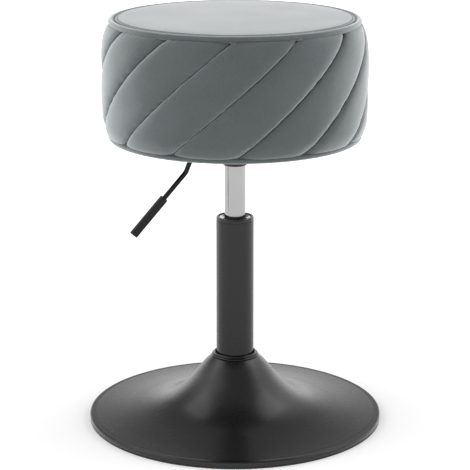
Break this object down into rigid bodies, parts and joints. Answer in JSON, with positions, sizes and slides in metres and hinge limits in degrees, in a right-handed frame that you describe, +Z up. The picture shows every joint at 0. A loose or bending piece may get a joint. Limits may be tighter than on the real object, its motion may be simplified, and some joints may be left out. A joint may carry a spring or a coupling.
{
  "type": "adjustable swivel stool",
  "caption": "Round padded seat with diagonal channelled sides on a gas-lift column and a trumpet base; a bent lever under the seat releases the height.",
  "frame": {"origin": "on the floor, at the centre of the round base, on the column axis", "axes": "+Z up along the column axis; the release lever points along -X, and the stool is otherwise round"},
  "size_m": [0.394, 0.394, 0.5462],
  "materials": {
    "black_coat": "satin",
    "lever_coat": "gloss",
    "collar_plastic": "gloss",
    "grip_plastic": "satin",
    "black_nylon": "satin",
    "white_nylon": "satin",
    "black_rubber": "matte",
    "bare_steel": "satin",
    "zinc_steel": "satin",
    "chrome": "polished",
    "plywood": "matte",
    "nonwoven": "matte",
    "velvet": "matte",
    "foam": "matte",
    "wadding": "matte"
  },
  "bodies": {
    "base": {"base_shell": "black_coat", "base_collar": "collar_plastic", "floor_ring": "black_rubber", "base_socket": "black_coat", "socket_plate": "black_coat", "brace_arms": "black_coat", "pedestal_tube": "black_coat", "tube_end_plate": "bare_steel", "trim_sleeve": "collar_plastic", "bush_liner": "zinc_steel", "column_bush": "black_nylon", "lower_race": "zinc_steel"},
    "bearing_cage": {"ball_cage": "white_nylon", "bearing_balls": "zinc_steel"},
    "rod": {"piston_rod": "chrome", "piston": "white_nylon", "upper_race": "zinc_steel", "bumper": "black_rubber", "rod_washer": "zinc_steel", "rod_clip": "zinc_steel"},
    "seat": {"gas_cylinder": "chrome", "cylinder_gland": "black_nylon", "pressure_tube": "bare_steel", "valve_body": "bare_steel", "seat_hub": "black_coat", "mount_plate": "black_coat", "lever_bracket": "black_coat", "pivot_pin": "zinc_steel", "plate_bolts": "zinc_steel", "plate_washers": "zinc_steel", "tee_nuts": "zinc_steel", "base_board": "plywood", "dust_cover": "nonwoven", "fabric_hem": "velvet", "staples": "zinc_steel", "drum_wall": "plywood", "top_board": "plywood", "seat_foam": "foam", "side_wadding": "wadding", "side_cover": "velvet", "top_cover": "velvet", "top_piping": "velvet", "bottom_piping": "velvet"},
    "lever": {"lever_rod": "lever_coat", "lever_grip": "grip_plastic", "release_arm": "zinc_steel"},
    "valve_pin": {"valve_pin": "zinc_steel"}
  },
  "joints": [
    {"name": "swivel", "type": "hinge", "parent": "base", "child": "rod", "pos_m": [0, 0, 0.02], "axis": [0, 0, 1], "continuous": true},
    {"name": "bearing_roll", "type": "hinge", "parent": "base", "child": "bearing_cage", "pos_m": [0, 0, 0.02], "axis": [0, 0, 1], "continuous": true},
    {"name": "lift", "type": "slide", "parent": "rod", "child": "seat", "axis": [0, 0, 1], "range_m": [-0.066, 0.074]},
    {"name": "lever_tilt", "type": "hinge", "parent": "seat", "child": "lever", "pos_m": [-0.024, 0, 0.377], "axis": [0, 1, 0], "range_deg": [0, 6], "stiffness_Nm_per_rad": 4},
    {"name": "valve_press", "type": "slide", "parent": "seat", "child": "valve_pin", "axis": [0, 0, -1], "range_m": [0, 0.0028]}
  ],
  "couplings": [
    {"joint": "bearing_roll", "follows": "swivel", "ratio": 0.5},
    {"joint": "valve_press", "follows": "lever_tilt", "m_per_rad": 0.0256}
  ]
}
